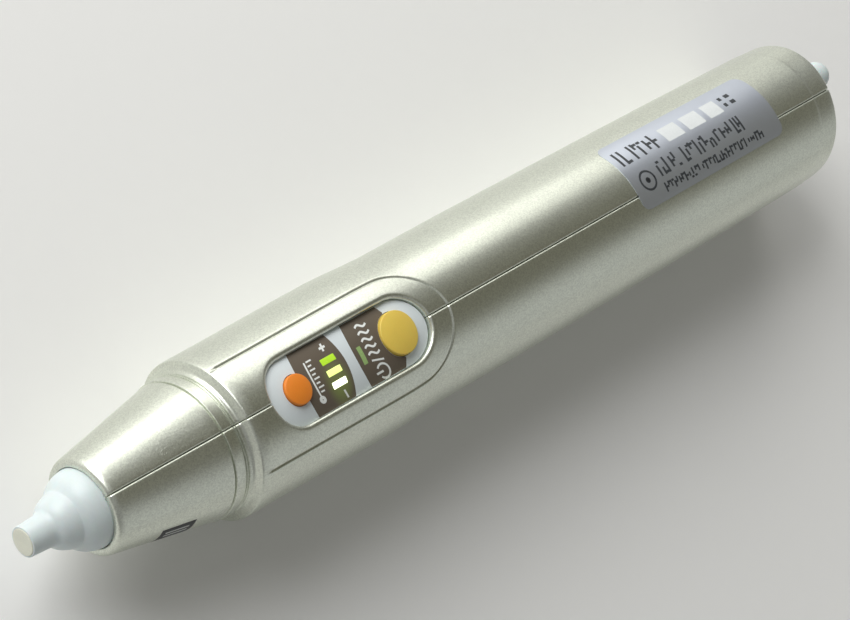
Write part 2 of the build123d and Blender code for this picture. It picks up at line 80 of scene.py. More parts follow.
def box_mm(node):
    """Lowest and highest corner of a CAD node, in millimetres."""
    low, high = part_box(node)
    return np.array(low) / MM, np.array(high) / MM


# ---- places read from the frame ---------------------------------------------------------------
CONE_FRONT = box_mm("tip_cone")[0][0]
PLATE_R = box_mm("tip_plate")[1][1]
LABEL_LOW, LABEL_HIGH = box_mm("panel_label")
TEMP_LOW, TEMP_HIGH = box_mm("temp_button")
HEAT_LOW, HEAT_HIGH = box_mm("heat_button")
STICKER_LOW, STICKER_HIGH = box_mm("rating_sticker")
CAP_LOW, CAP_HIGH = box_mm("battery_cap")
SCREW_LOW, SCREW_HIGH = box_mm("shell_screws")
LABEL_R = LABEL_HIGH[2]
TEMP_X = (TEMP_LOW[0] + TEMP_HIGH[0]) / 2
HEAT_X = (HEAT_LOW[0] + HEAT_HIGH[0]) / 2


def linear(code):
    """An sRGB hex colour as linear red, green, blue and alpha."""
    value = np.array([int(code[i:i + 2], 16) for i in (1, 3, 5)]) / 255
    value = np.where(value <= 0.04045, value / 12.92, ((value + 0.055) / 1.055) ** 2.4)
    return (*value.tolist(), 1.0)


# ---- sizes and colours a user would change -----------------------------------------------------
def length(name, description, default):
    """A length in millimetres, shown in the panel."""
    return bpy.props.FloatProperty(name=name, description=description, default=default, min=0.0)


def colour(name, description, code):
    """A colour from its sRGB hex code, shown in the panel."""
    return bpy.props.FloatVectorProperty(name=name, description=description, default=linear(code), size=4,
                                         subtype="COLOR", min=0.0, max=1.0)


def brightness(name, description, default):
    """How strongly a lamp glows, shown in the panel."""
    return bpy.props.FloatProperty(name=name, description=description, default=default, min=0.0)


class WandShellSizes(bpy.types.PropertyGroup):
    """Sizes of the painted body shells, in millimetres."""
    rim_round: length("Well rim rounding", "Radius of the edge round the panel well", 0.7)
    well_depth: length("Well wall depth", "How far the well's wall goes down", 1.9)
    pad_raise: length("Pad height", "How far the pad round the panel stands up", 0.33)
    pad_step: length("Pad step width", "Width of the pad's sloped edge", 0.26)
    pad_groove: length("Pad groove", "Depth of the fine groove at the pad's foot", 0.3)
    parting_gap: length("Parting gap", "Half the open gap between the shells", 0.045)
    parting_round: length("Parting rounding", "Radius of each shell's edge along the joint", 0.38)
    parting_depth: length("Parting depth", "How deep the gap goes", 0.55)
    skin: length("Skin", "Thickness of the shells' modelled skin", 0.45)


class WandColours(bpy.types.PropertyGroup):
    """Colours of the finishes that show."""
    lacquer: colour("Lacquer", "Champagne-silver metallic lacquer", "#DBDFD2")
    white: colour("White parts", "Cool white moulded plastic", "#D3DDDD")
    ivory: colour("Tip plate", "Ivory ceramic", "#DFE0D0")
    orange: colour("Small button", "Orange silicone", "#EA882A")
    yellow: colour("Large button", "Yellow silicone", "#E2C458")
    ink: colour("Panel ink", "Brown screen-printed fields", "#62584B")
    sticker: colour("Sticker", "Silvery blue-grey film", "#CAD0DA")


class WandLamps(bpy.types.PropertyGroup):
    """Brightness of each lamp."""
    low: brightness("Low bar", "Glow of the brightest bar", 3.0)
    middle: brightness("Middle bar", "Glow of the middle bar", 0.75)
    high: brightness("High bar", "Glow of the dimmest lit bar", 0.28)
    heat: brightness("Heat lamp", "Glow of the heat lamp", 0.12)


# ---- mesh tools ----------------------------------------------------------------------------------
MERGE = 2e-7               # points closer than this, in metres, are one


def piece(name, points, quads, node_slot, sharp, body="housing", material=None, replaces=()):
    """Stores points, in millimetres, and faces as one object that rides on a body. It has its slot's finish,
    unless another is given. Edges that turn more than sharp degrees stay sharp, and the rest is smooth."""
    mesh = bpy.data.meshes.new(name)
    mesh.from_pydata((np.asarray(points).reshape(-1, 3) * MM).tolist(), [], np.asarray(quads).tolist())
    work = bmesh.new()
    work.from_mesh(mesh)
    bmesh.ops.remove_doubles(work, verts=work.verts, dist=MERGE)
    bmesh.ops.dissolve_degenerate(work, edges=work.edges, dist=MERGE / 20)
    bmesh.ops.delete(work, geom=[v for v in work.verts if not v.link_faces], context="VERTS")
    bmesh.ops.recalc_face_normals(work, faces=work.faces)
    work.to_mesh(mesh)
    work.free()
    mesh.shade_smooth()
    made = bpy.data.objects.new(name, mesh)
    bpy.context.scene.collection.objects.link(made)
    mesh.materials.append(material or finish(node_slot))
    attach(made, body)
    if replaces:
        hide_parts(*replaces)
    mesh.set_sharp_from_angle(angle=np.radians(sharp))
    return made


def grid_quads(rows, columns, start=0, wrap_rows=False, wrap_columns=False, keep=None):
    """Quads of a grid of points stored row by row; keep marks the cells that stay."""
    i = np.arange(rows if wrap_rows else rows - 1)[:, None]
    j = np.arange(columns if wrap_columns else columns - 1)[None, :]
    i2, j2 = (i + 1) % rows, (j + 1) % columns
    quads = np.stack([i * columns + j, i * columns + j2, i2 * columns + j2, i2 * columns + j], -1) + start
    return quads[keep] if keep is not None else quads.reshape(-1, 4)


def rounded(corners, steps=5):
    """A polyline through corners of (x, y, radius), each rounded by a parabola tangent to both its sides."""
    corners = np.array(corners, float)
    out = [corners[0, :2]]
    for before, at, after in zip(corners, corners[1:], corners[2:]):
        if at[2] == 0:
            out.append(at[:2])
            continue
        to_before = before[:2] - at[:2]
        to_after = after[:2] - at[:2]
        a = at[:2] + to_before * min(0.5, at[2] / np.linalg.norm(to_before))
        b = at[:2] + to_after * min(0.5, at[2] / np.linalg.norm(to_after))
        t = np.linspace(0, 1, steps)[:, None]
        out.extend((1 - t) ** 2 * a + 2 * t * (1 - t) * at[:2] + t ** 2 * b)
    out.append(corners[-1, :2])
    return np.array(out)


def turned(profile, steps=96):
    """Surface of revolution about X: each profile point (x, radius) goes round a circle of that radius."""
    profile = np.asarray(profile)
    angle = np.linspace(0, 2 * np.pi, steps, endpoint=False)[:, None]
    x = np.broadcast_to(profile[:, 0], (steps, len(profile)))
    points = np.stack([x, profile[:, 1] * np.sin(angle), profile[:, 1] * np.cos(angle)], -1)
    return points.reshape(-1, 3), grid_quads(steps, len(profile), wrap_rows=True)


def slab(top, bottom):
    """Closed solid between two grids of the same size: both faces and the four edges."""
    rows, columns = top.shape[:2]
    count = rows * columns
    upper = grid_quads(rows, columns)
    lower = grid_quads(rows, columns, count)[:, ::-1]
    index = np.arange(count).reshape(rows, columns)
    rim = np.concatenate([index[0, :], index[1:, -1], index[-1, -2::-1], index[-2:0:-1, 0]])
    after = np.roll(rim, -1)
    sides = np.stack([after, rim, rim + count, after + count], -1)
    return np.concatenate([top.reshape(-1, 3), bottom.reshape(-1, 3)]), np.concatenate([upper, lower, sides])


def smooth_step(t):
    """Rises from 0 to 1 as t does, level at both ends: three times t squared less twice t cubed."""
    t = np.clip(t, 0, 1)
    return t * t * (3 - 2 * t)


def curve_through(points, x):
    """Smooth curve through (x, y) points: cubic spans whose end slopes are the mean of the two sides'."""
    points = np.array(points, float)
    px, py = points.T
    side = np.diff(py) / np.diff(px)
    slope = np.concatenate([[0], (side[1:] + side[:-1]) / 2, [0]])
    k = np.clip(np.searchsorted(px, x) - 1, 0, len(px) - 2)
    span = px[k + 1] - px[k]
    t = np.clip((x - px[k]) / span, 0, 1)
    return ((2 * t ** 3 - 3 * t ** 2 + 1) * py[k] + (t ** 3 - 2 * t ** 2 + t) * span * slope[k]
            + (3 * t ** 2 - 2 * t ** 3) * py[k + 1] + (t ** 3 - t ** 2) * span * slope[k + 1])


# ---- shape of the body ----------------------------------------------------------------------------
BARREL_R = 15.03
BORE_R = 13.3
SHOULDER_X = 39.55
TAIL_X = 207.75
TAIL_SLANT = np.tan(np.radians(6.3))
SLANT_FROM = 188.0
CREASE_X = 201.6           # where the end of the barrel starts to taper more
CREASE_WIDTH, CREASE_STEP = 0.5, 0.05
STRAIGHT_END = STICKER_LOW[0] - 1.1
TAPER = 0.36               # what the radius loses from there to the tail
END_TAPER = 0.03           # what it loses besides for each millimetre behind the crease
EDGE_X = TAIL_X - 1.6      # where the rounding of the tail's rim starts
GRIP_END = 112.5           # where the swelling under the fingers has died out
GRIP_CURVE = ((40.5, 14.84), (55.4, 15.03), (68, 15.24), (75.5, 15.29), (80.5, 15.13), (86, 14.90),
              (92, 14.88), (100, 14.95), (GRIP_END, BARREL_R))
MOUTH_R = 7.26             # hole in the nose's front, which the white cone fills
NOSE_X0, NOSE_R0 = 12.8, 8.66
NOSE_X1, NOSE_R1 = 34.86, 12.74
GROOVE_R, LAND_R = 12.64, 12.94    # floor of the fine grooves behind the nose, and the lands beside them
WELL_MARGIN = 0.25         # between the printed sheet and the well's wall
WELL_HALF = LABEL_HIGH[1] + WELL_MARGIN
WELL_X0 = LABEL_LOW[0] - WELL_MARGIN
WELL_X1 = LABEL_HIGH[0] + WELL_MARGIN
PAD_HALF = 9.7
PAD_END = SHOULDER_X + 49.3
PAD_FRONT = SHOULDER_X + 0.15
PLAN_R = 15.2              # radius used only to name a place on the barrel by its plan width
PAD_FADE = 0.9             # length over which the pad rises at its front
PAD_GROOVE_WIDTH = 0.27
PAD_CLOSE = 0.95           # half the width of the close grid lines along the pad's edge
PATCH_X0, PATCH_X1 = 41.3, 92.0    # part of the barrel whose grid runs round the well
PATCH_ANGLE = np.radians(46)
JOINT_BAND = 2.5           # width beside the shells' joint that stays the same all along
TAIL_POINTS = 12           # points of the body's line that turn in over the tail's rim
SCREW_R = 1.95             # counterbore over each screw
SCREW_HEAD_R = 1.75
SCREW_HOLE_R = 1.15
SCREW_FLOOR_Y = -5.25
SCREW_EDGE = 0.18          # softness of the counterbore's edge
SCREW_PLACES = (0.0, 44.0, 116.0)  # of the three screws, behind the first
SCREW_PATCH_X, SCREW_PATCH_TURN = 4.4, 0.24    # reach of the grid round each screw


def barrel_radius(x):
    """Plain barrel: swells under the fingers, narrows behind the panel, runs straight, then tapers with the
    square of the distance and, behind a crease, in proportion to it as well."""
    taper = TAPER * (np.clip(x - STRAIGHT_END, 0, None) / (TAIL_X - STRAIGHT_END)) ** 2
    crease = CREASE_STEP * smooth_step((x - CREASE_X + CREASE_WIDTH / 2) / CREASE_WIDTH)
    end_taper = END_TAPER * np.clip(x - CREASE_X, 0, None) + crease
    return np.where(x < GRIP_END, curve_through(GRIP_CURVE, x), BARREL_R - taper - end_taper)


def body_profile():
    """Line of (x, radius) from inside the nose's mouth, over the outside, to inside the tail."""
    nose = rounded([
        (14.6, MOUTH_R, 0), (12.82, MOUTH_R, 0.25), (12.78, NOSE_R0, 1.25), (NOSE_X1, NOSE_R1, 0.1),
        (34.92, 12.42, 0.06), (35.1, 12.42, 0.06), (35.18, LAND_R, 0.1), (37.26, LAND_R, 0.1),
        (37.34, GROOVE_R, 0.06), (37.5, GROOVE_R, 0.06), (37.58, LAND_R, 0.07), (37.74, LAND_R, 0.07),
        (37.82, GROOVE_R, 0.06), (37.98, GROOVE_R, 0.06), (38.1, 13.0, 0.1), (38.85, 13.14, 0.5),
        (39.5, 14.74, 0.3), (PATCH_X0, 14.87, 0)])
    along = np.concatenate([
        np.arange(PATCH_X0, PATCH_X1, 0.9), [PATCH_X1], np.arange(94, SLANT_FROM, 3.0),
        np.linspace(SLANT_FROM, CREASE_X - 0.5, 6), CREASE_X + np.array([-0.2, 0, 0.2, 0.6]),
        np.linspace(CREASE_X + 1.5, EDGE_X, 4)])
    barrel = np.stack([along, barrel_radius(along)], -1)
    end_r = barrel[-1, 1]
    tail = rounded([(EDGE_X, end_r, 0), (TAIL_X, end_r - 0.14, 1.15), (TAIL_X, BORE_R, 0.3),
                    (199.2, BORE_R, 0)], steps=8)
    return split_long(np.concatenate([nose[:-1], barrel, tail[1:]]), 1.6)


def split_long(profile, longest):
    """Adds points on the nose's long straight run, so that its shading stays even."""
    out = [profile[0]]
    for a, b in zip(profile, profile[1:]):
        on_nose = 13 < a[0] < 35 and b[0] > a[0]
        count = int(np.ceil(np.linalg.norm(b - a) / longest)) if on_nose else 1
        out.extend(a + (b - a) * k / count for k in range(1, count + 1))
    return np.array(out)


def half_angles(sizes):
    """Angles from the panel's middle (0) round one shell to its underside (pi), close together by the joint
    and by the pad's edge."""
    lip = sizes.parting_gap + sizes.parting_round * (1 - np.cos(np.linspace(0, np.pi / 2, 6)))
    near = np.concatenate([[sizes.parting_gap - 0.005], lip, [0.6, 0.8, 1.1]]) / BARREL_R
    pad_edge = np.arcsin(PAD_HALF / PLAN_R)
    pad = pad_edge + np.linspace(-0.06, 0.06, 23)
    first = np.linspace(near[-1], pad[0], 9)[1:-1]
    last = np.linspace(pad[-1], PATCH_ANGLE, 4)[1:]
    back = np.linspace(PATCH_ANGLE, np.pi - near[-1], 44)[1:-1]
    return np.concatenate([near, first, pad, last, back, np.pi - near[::-1]])


def pad_distance(x, plan_y):
    """Signed plan distance inside the pad's round-ended outline."""
    ahead = np.clip(x - (PAD_END - PAD_HALF), 0, None)
    return PAD_HALF - np.hypot(ahead, plan_y)


def radius_at(x, base_r, angle, sizes):
    """Outer radius at a place: the plain radius, plus the pad's smooth step, less a bell-shaped groove at the
    pad's foot and the rounding and gap along the joint."""
    plan_y = np.abs(PLAN_R * np.sin(angle))
    inside = pad_distance(x, plan_y)
    foot = np.exp(-((inside + 0.5 * sizes.pad_step + 0.12) / PAD_GROOVE_WIDTH) ** 2)
    pad = sizes.pad_raise * smooth_step(0.5 + inside / sizes.pad_step) - sizes.pad_groove * foot
    pad = pad * smooth_step((x - PAD_FRONT) / PAD_FADE) * ((np.cos(angle) > 0) & (x < PATCH_X1 + 1))
    across = BARREL_R * np.abs(np.sin(angle)) - sizes.parting_gap
    left = np.clip(sizes.parting_round - np.clip(across, 0, None), 0, None)
    lip = sizes.parting_round - np.sqrt(sizes.parting_round ** 2 - left ** 2)
    drop = np.where(across < -0.001, sizes.parting_depth, lip)
    return base_r + pad - drop * (base_r > MOUTH_R + 0.14)


def on_body(x, radius, angle, side):
    """Point of one shell (side is 1 for left, -1 for right): round the axis, with the places beside the joint
    kept at the same width all along, and x moved by the tail's slant."""
    near_joint = np.exp(-(BARREL_R * np.sin(angle) / JOINT_BAND) ** 2)
    y = np.sin(angle) * (near_joint * BARREL_R + (1 - near_joint) * radius)
    z = np.copysign(np.sqrt(np.clip(radius ** 2 - y ** 2, 0, None)), np.cos(angle))
    share = np.clip((x - SLANT_FROM) / (TAIL_X - SLANT_FROM), 0, 1)
    return np.stack([x + TAIL_SLANT * side * y * share, side * y, z], -1)


def patch_lines(boundary, outline, levels):
    """Points on straight plan lines from an opening's outline to the grid round it, a row of levels each."""
    return outline[:, None, :] + (boundary - outline)[:, None, :] * levels[:, :, None]


def well_patch(profile, angles, columns, rows, side, sizes):
    """Part of a shell round the panel well: lines that start square to the well's wall and end on the patch's
    border, with close points at the rim and where they cross the pad's edge, found by halving."""
    x0, x1 = profile[columns[0], 0], profile[columns[-1], 0]
    top = angles[rows]
    rear = np.stack([np.full(len(top), x1), PLAN_R * np.sin(top)], -1)
    front = np.stack([np.full(len(top), x0), PLAN_R * np.sin(top)], -1)[::-1]
    border_x = profile[columns, 0][::-1][1:-1]
    border = np.stack([border_x, np.full(len(border_x), PLAN_R * np.sin(top[-1]))], -1)
    boundary = np.concatenate([rear, border, front])
    centre0, centre1 = WELL_X0 + WELL_HALF, WELL_X1 - WELL_HALF
    middle = np.clip(boundary[:, 0], centre0, centre1)
    reach = np.hypot(boundary[:, 0] - middle, boundary[:, 1])
    plan_y = boundary[:, 1] * WELL_HALF / reach
    beyond = boundary[:, 0] - middle
    parallel = np.exp(-boundary[:, 1] ** 2) * (beyond != 0)
    plan_y = parallel * np.minimum(boundary[:, 1], WELL_HALF) + (1 - parallel) * plan_y
    end_x = np.sqrt(np.clip(WELL_HALF ** 2 - plan_y ** 2, 0, None))
    outline = np.stack([middle + np.sign(beyond) * end_x, plan_y], -1)
    run = np.hypot(*(boundary - outline).T)
    low, high = np.zeros(len(run)), np.ones(len(run))
    for _ in range(30):
        half = (low + high) / 2
        at = outline + (boundary - outline) * half[:, None]
        inside = pad_distance(at[:, 0], at[:, 1]) > 0
        low, high = np.where(inside, half, low), np.where(inside, high, half)
    rim = sizes.rim_round / run
    step = PAD_CLOSE / run
    cross = np.clip(low, rim * 1.2 + step, 1 - step)
    blend = np.linspace(0, 1, 7)
    levels = np.concatenate([
        rim[:, None] * (1 - np.cos(blend * np.pi / 2))[None, :],
        rim[:, None] + (cross - step - rim)[:, None] * np.linspace(0, 1, 6)[None, 1:-1],
        (cross - step)[:, None] + 2 * step[:, None] * np.linspace(0, 1, 25)[None, :],
        (cross + step)[:, None] + (1 - cross - step)[:, None] * np.linspace(0, 1, 7)[None, 1:]], 1)
    at = patch_lines(boundary, outline, levels)
    angle = np.arcsin(np.clip(at[..., 1] / PLAN_R, 0, 1))
    base_r = np.interp(at[..., 0], profile[columns, 0], profile[columns, 1])
    radius = radius_at(at[..., 0], base_r, angle, sizes)
    left = np.clip(sizes.rim_round - levels * run[:, None], 0, None)
    drop = sizes.rim_round - np.sqrt(np.clip(sizes.rim_round ** 2 - left ** 2, 0, None))
    points = on_body(at[..., 0], radius - drop, angle, side)
    walls = []
    for share in (1.0, 0.6, 0.3, 0.12):
        wall = points[:, :1].copy()
        wall[..., 2] -= sizes.well_depth * share
        walls.append(wall)
    return np.concatenate([*walls, points], 1)


def screw_patch(profile, angles, columns, rows, centre_x, centre_z, side):
    """Part of the right shell round one counterbored screw hole, whose axis runs along Y."""
    xs, turn = profile[columns, 0], angles[rows]
    lines = [np.stack([xs, np.full(len(xs), turn[0])], -1),
             np.stack([np.full(len(turn), xs[-1]), turn], -1)[1:],
             np.stack([xs, np.full(len(xs), turn[-1])], -1)[::-1][1:],
             np.stack([np.full(len(turn), xs[0]), turn], -1)[::-1][1:]]
    border = np.concatenate(lines)
    radius = np.interp(border[:, 0], xs, profile[columns, 1])
    boundary = np.stack([border[:, 0], radius * np.cos(border[:, 1])], -1)
    centre = np.array([centre_x, centre_z])
    away = boundary - centre
    away /= np.linalg.norm(away, axis=1)[:, None]
    outline = centre + away * SCREW_R
    edge = 0.08
    levels = np.broadcast_to(np.array([0, 0.03, edge, 0.2, 0.4, 0.7, 1.0]), (len(border), 7))
    at = patch_lines(boundary, outline, levels)
    here = np.interp(at[..., 0], xs, profile[columns, 1])
    drop = SCREW_EDGE * np.clip(1 - levels / edge, 0, 1) ** 2
    angle = np.arccos(np.clip(at[..., 1] / here, -1, 1))
    points = on_body(at[..., 0], here - drop, angle, side)
    rings = []
    for ring_r, depth in ((SCREW_HOLE_R, -0.9), (SCREW_HOLE_R, 0.0), (SCREW_R, 0.0), (SCREW_R, 1.5)):
        ring = np.empty((len(border), 1, 3))
        ring[:, 0, 0] = centre_x + away[:, 0] * ring_r
        ring[:, 0, 1] = SCREW_FLOOR_Y - depth
        ring[:, 0, 2] = centre_z + away[:, 1] * ring_r
        rings.append(ring)
    return np.concatenate([*rings, points], 1)


def column_at(profile, x):
    """Index of the first point at or behind x on the outside of the body's line."""
    return int(np.searchsorted(profile[:-TAIL_POINTS, 0], x))


def shell(side, sizes):
    """One body shell: radius as a function of place along the pen and angle round it, with its openings."""
    profile = body_profile()
    angles = half_angles(sizes)
    x, turn = np.meshgrid(profile[:, 0], angles, indexing="ij")
    base = np.broadcast_to(profile[:, 1][:, None], x.shape)
    points = [on_body(x, radius_at(x, base, turn, sizes), turn, side).reshape(-1, 3)]
    keep = np.ones((len(profile) - 1, len(angles) - 1), bool)
    first, last = column_at(profile, PATCH_X0 - 1e-6), column_at(profile, PATCH_X1 - 1e-6)
    columns = np.arange(first, last + 1)
    rows = np.arange(0, int(np.searchsorted(angles, PATCH_ANGLE - 1e-6)) + 1)
    keep[first:last, :rows[-1]] = False
    patches = [well_patch(profile, angles, columns, rows, side, sizes)]
    if side < 0:
        z = (SCREW_LOW[2] + SCREW_HIGH[2]) / 2
        turn_at = np.arccos(z / BARREL_R)
        for place in SCREW_PLACES:
            centre_x = SCREW_LOW[0] + SCREW_HEAD_R + place
            start = column_at(profile, centre_x - SCREW_PATCH_X)
            end = column_at(profile, centre_x + SCREW_PATCH_X)
            low, high = np.searchsorted(angles, [turn_at - SCREW_PATCH_TURN, turn_at + SCREW_PATCH_TURN])
            keep[start:end, low:high] = False
            patches.append(screw_patch(profile, angles, np.arange(start, end + 1), np.arange(low, high + 1),
                                       centre_x, z, side))
    quads = [grid_quads(len(profile), len(angles), keep=keep)]
    count = points[0].shape[0]
    for index, patch in enumerate(patches):
        quads.append(grid_quads(patch.shape[0], patch.shape[1], count))
        points.append(patch.reshape(-1, 3))
        count += patch.shape[0] * patch.shape[1]
    node = "left_shell" if side > 0 else "right_shell"
    made = piece(node + "_skin", np.concatenate(points), np.concatenate(quads), "champagne_paint", 50,
                 replaces=[node])
    thick = made.modifiers.new("wall", "SOLIDIFY")
    thick.thickness = sizes.skin * MM
    thick.offset = -1


# ---- materials --------------------------------------------------------------------------------------
def add(tree, kind, inputs=None, **settings):
    """Adds a node with its settings; inputs are values or sockets to link from."""
    node = tree.nodes.new(kind)
    for key, value in settings.items():
        setattr(node, key, value)
    for key, value in (inputs or {}).items():
        if isinstance(value, bpy.types.NodeSocket):
            tree.links.new(value, node.inputs[key])
        else:
            node.inputs[key].default_value = value
    return node


def surface(name, base, roughness, metallic=0.0, grain=None, bump=0.0, spread=0.0, mottle=None, **sockets):
    """Principled surface whose colour varies by spread and whose height varies by bump millimetres.

    grain is the grain's size in millimetres, and mottle the size of its slower colour drift."""
    material = bpy.data.materials.new(name)
    material.use_nodes = True
    tree = material.node_tree
    shader = tree.nodes["Principled BSDF"]
    shader.inputs["Roughness"].default_value = roughness
    shader.inputs["Metallic"].default_value = metallic
    shader.inputs["Base Color"].default_value = tuple(base)
    for key, value in sockets.items():
        shader.inputs[key.replace("_", " ")].default_value = value
    if grain:
        place = add(tree, "ShaderNodeTexCoord").outputs["Object"]
        fine = add(tree, "ShaderNodeTexNoise", {"Vector": place, "Scale": 1 / (grain * MM), "Detail": 2.0})
        slow = add(tree, "ShaderNodeTexNoise", {"Vector": place, "Scale": 1 / ((mottle or 12 * grain) * MM),
                                                "Detail": 3.0})
        mixed = add(tree, "ShaderNodeMath", {0: fine.outputs["Fac"], 1: slow.outputs["Fac"]}, operation="ADD")
        shift = add(tree, "ShaderNodeMapRange", {"Value": mixed.outputs[0], "From Min": 0.6, "From Max": 1.4,
                                                 "To Min": 1 - spread, "To Max": 1 + spread})
        tint = add(tree, "ShaderNodeMix", {0: 1.0, 6: tuple(base), 7: shift.outputs[0]},
                   data_type="RGBA", blend_type="MULTIPLY")
        tree.links.new(tint.outputs[2], shader.inputs["Base Color"])
        rough = add(tree, "ShaderNodeMapRange", {"Value": fine.outputs["Fac"], "From Min": 0.3,
                                                 "From Max": 0.7, "To Min": roughness * 0.88,
                                                 "To Max": min(1, roughness * 1.12)})
        tree.links.new(rough.outputs[0], shader.inputs["Roughness"])
        if bump:
            relief = add(tree, "ShaderNodeBump", {"Height": fine.outputs["Fac"], "Distance": bump * MM,
                                                  "Strength": 1.0})
            tree.links.new(relief.outputs[0], shader.inputs["Normal"])
    return material


def champagne_lacquer(base):
    """Metallic lacquer sprayed on moulded ABS: aluminium flake gives a soft, wide gleam with a fine sparkle,
    and a thin clear coat a sharper second one."""
    material = surface("champagne_flake_lacquer_on_abs", base, 0.34, metallic=0.92, Coat_Weight=0.18,
                       Coat_Roughness=0.12)
    tree = material.node_tree
    shader = tree.nodes["Principled BSDF"]
    place = add(tree, "ShaderNodeTexCoord").outputs["Object"]
    # real flakes are about 0.03 mm; they are drawn at 0.22 mm so that the sparkle shows
    flake = add(tree, "ShaderNodeTexVoronoi", {"Vector": place, "Scale": 1 / (0.22 * MM)})
    drift = add(tree, "ShaderNodeTexNoise", {"Vector": place, "Scale": 1 / (9 * MM), "Detail": 3.0})
    light = add(tree, "ShaderNodeSeparateColor", {"Color": flake.outputs["Color"]})
    spread = add(tree, "ShaderNodeMapRange", {"Value": light.outputs[0], "To Min": 0.86, "To Max": 1.08})
    slow = add(tree, "ShaderNodeMapRange", {"Value": drift.outputs["Fac"], "From Min": 0.3, "From Max": 0.7,
                                            "To Min": 0.985, "To Max": 1.015})
    both = add(tree, "ShaderNodeMath", {0: spread.outputs[0], 1: slow.outputs[0]}, operation="MULTIPLY")
    tint = add(tree, "ShaderNodeMix", {0: 1.0, 6: tuple(base), 7: both.outputs[0]},
               data_type="RGBA", blend_type="MULTIPLY")
    tree.links.new(tint.outputs[2], shader.inputs["Base Color"])
    tilt = add(tree, "ShaderNodeBump", {"Height": light.outputs[1], "Distance": 0.006 * MM, "Strength": 1.0})
    tree.links.new(tilt.outputs[0], shader.inputs["Normal"])
    return material


def lamp(name, code, glow, strength):
    """Clear acrylic light guide over a lit lamp: its own pale colour, and a glow that is even all over it."""
    material = surface(name, linear(code), 0.25, grain=0.4, spread=0.05, Coat_Weight=0.5)
    shader = material.node_tree.nodes["Principled BSDF"]
    shader.inputs["Emission Color"].default_value = linear(glow)
    shader.inputs["Emission Strength"].default_value = strength
    return material


FINISHES = {
    # slot: (name, hex colour or the name of one in the panel, roughness, metallic, grain in mm, bump in mm,
    # colour spread), and what the real material gives the eye
    # cool white with a soft sheen; a little light goes in, so its edges aren't hard
    "white_plastic": ("satin_moulded_abs_white", "white", 0.38, 0.0, 0.5, 0.004, 0.02),
    # dull, warm white with a fine even grain from the grinding
    "ceramic_face": ("ground_ivory_alumina", "ivory", 0.5, 0.0, 0.25, 0.006, 0.05),
    # smooth, slightly warm white
    "white_ceramic": ("fired_white_alumina", "#E8E6DF", 0.45, 0.0, 0.2, 0.004, 0.03),
    # flat bluish white under a thin clear sheet
    "panel_print": ("white_printed_polyester", "#D6DEE0", 0.42, 0.0, 0.35, 0.002, 0.02),
    # glassy and almost without colour
    "clear_guide": ("clear_acrylic", "#DDE8D0", 0.2, 0.0, 0.4, 0.0, 0.03),
    # pale yellowish drop with a shine
    "led_resin": ("lamp_resin", "#EAEFD8", 0.3, 0.0, 0.2, 0.0, 0.05),
    # deep green lacquer that shows the weave of the board below it
    "board_green": ("green_solder_mask", "#1F5A35", 0.35, 0.0, 0.6, 0.01, 0.12),
    # black with a faint grey bloom
    "black_plastic": ("black_moulded_nylon", "#1C1C1E", 0.5, 0.0, 0.3, 0.006, 0.10),
    # bluish metal with a soft mirror
    "steel": ("zinc_plated_steel", "#B9BBBE", 0.32, 1.0, 0.15, 0.003, 0.08),
    # warmer and brighter metal
    "spring_steel": ("nickel_plated_spring_steel", "#C4BFB2", 0.26, 1.0, 0.15, 0.002, 0.06),
    # nearly black and quite matt, like fired clay
    "ferrite": ("pressed_ferrite", "#2E2C2C", 0.7, 0.0, 0.12, 0.01, 0.15),
    # metal that shows through a thin dark print
    "cell_sleeve": ("printed_cell_can", "#4A5058", 0.34, 0.35, 0.8, 0.002, 0.06),
    # soft red skin with a dull shine
    "lead_sheath": ("red_pvc_lead_sheath", "#B3261B", 0.45, 0.0, 0.4, 0.003, 0.06),
    # black and matt, with no mirror at all
    "seal_rubber": ("black_nitrile_rubber", "#1A1A1A", 0.65, 0.0, 0.1, 0.005, 0.12),
    # matt tan, mottled by its filler
    "insulation": ("pressed_phenolic", "#C9B48A", 0.7, 0.0, 0.3, 0.01, 0.12),
    # strong colours with a broad, dull gleam; a little light goes in
    "orange_rubber": ("orange_silicone", "orange", 0.46, 0.0, 0.2, 0.003, 0.03),
    "yellow_rubber": ("yellow_silicone", "yellow", 0.46, 0.0, 0.2, 0.003, 0.03),
    # bluish grey that brightens and darkens with the room, as metal does
    "sticker_film": ("silvered_polyester_film", "sticker", 0.35, 0.8, 0.25, 0.001, 0.03),
}
LETS_LIGHT_IN = ("orange_rubber", "yellow_rubber", "white_plastic")
MADE = {}


def finish(slot_name):
    """The material for one of the record's slots, made once."""
    colours = bpy.context.scene.wand_colours
    if slot_name not in MADE and slot_name == "champagne_paint":
        MADE[slot_name] = champagne_lacquer(colours.lacquer)
    elif slot_name not in MADE:
        name, shade, roughness, metallic, grain, bump, spread = FINISHES[slot_name]
        base = linear(shade) if shade.startswith("#") else getattr(colours, shade)
        soft = {"Subsurface_Weight": 0.12, "Subsurface_Scale": 0.6 * MM} if slot_name in LETS_LIGHT_IN else {}
        MADE[slot_name] = surface(name, base, roughness, metallic, grain, bump, spread, **soft)
    return MADE[slot_name]


def ink(name, base, roughness=0.5):
    """Screen-printed ink: a thin even film with a little unevenness in its colour."""
    return surface(name, base, roughness, grain=0.3, bump=0.002, spread=0.05)


